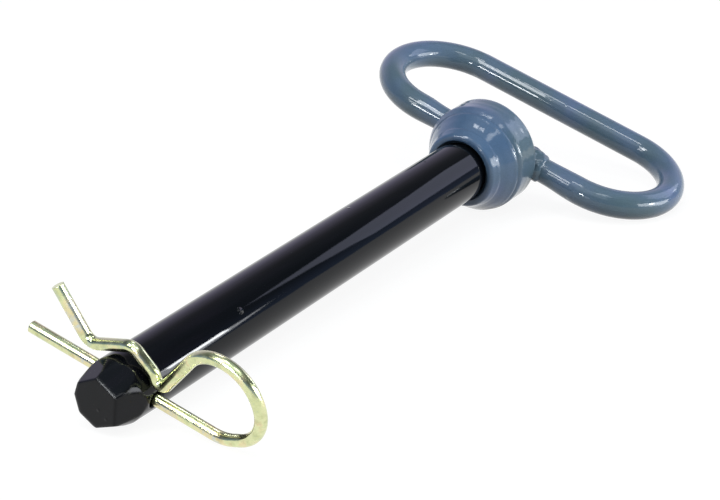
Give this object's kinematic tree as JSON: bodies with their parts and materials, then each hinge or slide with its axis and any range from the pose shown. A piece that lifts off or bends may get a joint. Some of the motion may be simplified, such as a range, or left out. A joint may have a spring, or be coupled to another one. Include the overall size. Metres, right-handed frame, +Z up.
{
  "type": "hitch pin",
  "caption": "Hitch pin: round shank with bevelled point, stepped collar, closed loop handle of round bar and a spring wire R-clip through its cross hole.",
  "frame": {"origin": "centre of the bounding box, on the floor that the pin lies on", "axes": "+X along the pin from its point to its handle, +Z up"},
  "size_m": [0.2506, 0.1084, 0.0369],
  "materials": {
    "shank_black": "gloss",
    "handle_coat": "gloss",
    "clip_zinc": "satin"
  },
  "bodies": {
    "pin": {"shank": "shank_black", "collar": "handle_coat", "handle": "handle_coat", "weld_beads": "handle_coat"},
    "clip": {"r_clip": "clip_zinc"}
  },
  "joints": [
    {"name": "clip_pull", "type": "slide", "parent": "pin", "child": "clip", "axis": [0.0097, -0.9726, -0.2323], "range_m": [0, 0.06], "deforming": ["r_clip"]}
  ]
}
